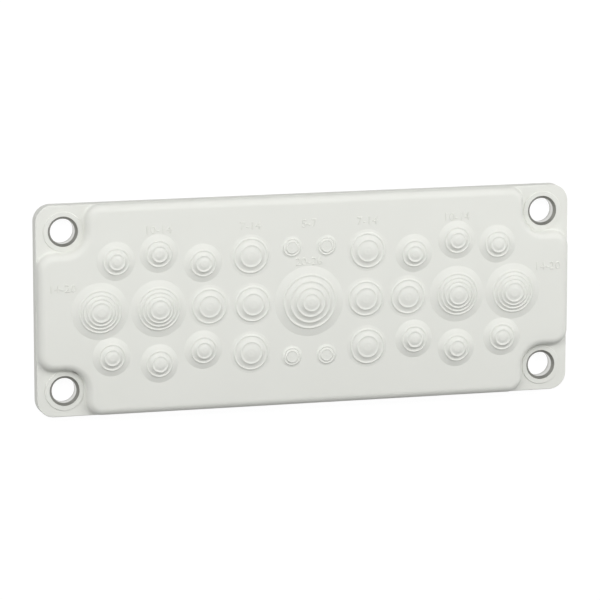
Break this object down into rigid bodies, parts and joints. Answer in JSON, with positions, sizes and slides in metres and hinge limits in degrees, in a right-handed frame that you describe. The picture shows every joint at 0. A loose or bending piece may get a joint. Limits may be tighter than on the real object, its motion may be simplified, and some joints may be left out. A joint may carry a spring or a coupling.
{
  "type": "cable entry plate",
  "caption": "Rectangular moulded plate with stepped round membranes that cables are pushed through, and a metal bush in each corner screw hole.",
  "frame": {"origin": "middle of the plane that the rear sealing bead stands on", "axes": "+X along the plate, +Y across it towards its upper edge, +Z out of its front face"},
  "size_m": [0.24, 0.092, 0.0149],
  "materials": {
    "moulding": "light grey moulded plastic, fine satin",
    "bush_metal": "dull plated steel"
  },
  "bodies": {
    "root": {"membrane_plate": "moulding", "bush_upper_left": "bush_metal", "bush_upper_right": "bush_metal", "bush_lower_left": "bush_metal", "bush_lower_right": "bush_metal"}
  },
  "joints": []
}
